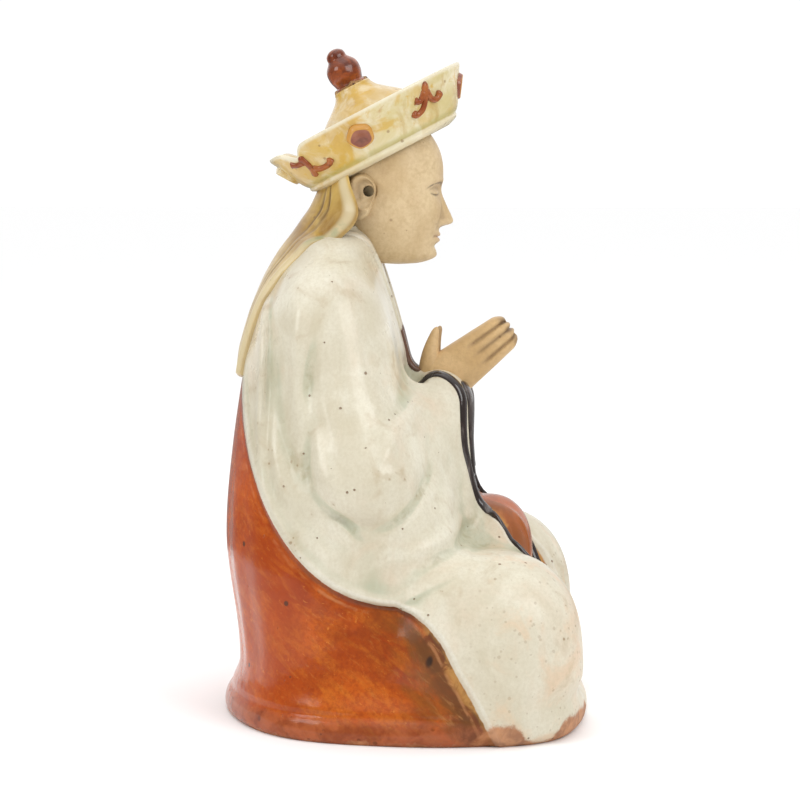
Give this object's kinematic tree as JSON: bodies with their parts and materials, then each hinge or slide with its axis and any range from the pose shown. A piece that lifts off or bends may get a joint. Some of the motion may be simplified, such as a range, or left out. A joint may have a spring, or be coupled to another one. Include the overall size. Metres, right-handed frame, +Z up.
{
  "type": "seated ceramic figure",
  "caption": "Seated robed deity figure of glazed ceramic, hands pressed together in prayer, with a flared crown, a head-cloth down the back and a broad flat foot to stand on a shelf.",
  "frame": {"origin": "under the middle of the figure's foot, on the surface it stands on", "axes": "+Z up, +X to the figure's own left, +Y to the figure's back, so it faces -Y"},
  "size_m": [0.1506, 0.1364, 0.2494],
  "materials": {
    "white_glaze": "glossy cream-white ceramic glaze, greenish where it pools",
    "amber_glaze": "glossy mottled orange-brown ceramic glaze",
    "black_glaze": "glossy brown-black ceramic glaze, worn grey in places",
    "yellow_glaze": "glossy cream-yellow ceramic glaze with amber patches",
    "brown_glaze": "glossy red-brown ceramic glaze",
    "ochre_glaze": "satin ochre ceramic glaze with a pale edge",
    "biscuit": "unglazed tan fired clay, satin"
  },
  "bodies": {
    "root": {"seated_figure": "white_glaze"}
  },
  "joints": []
}
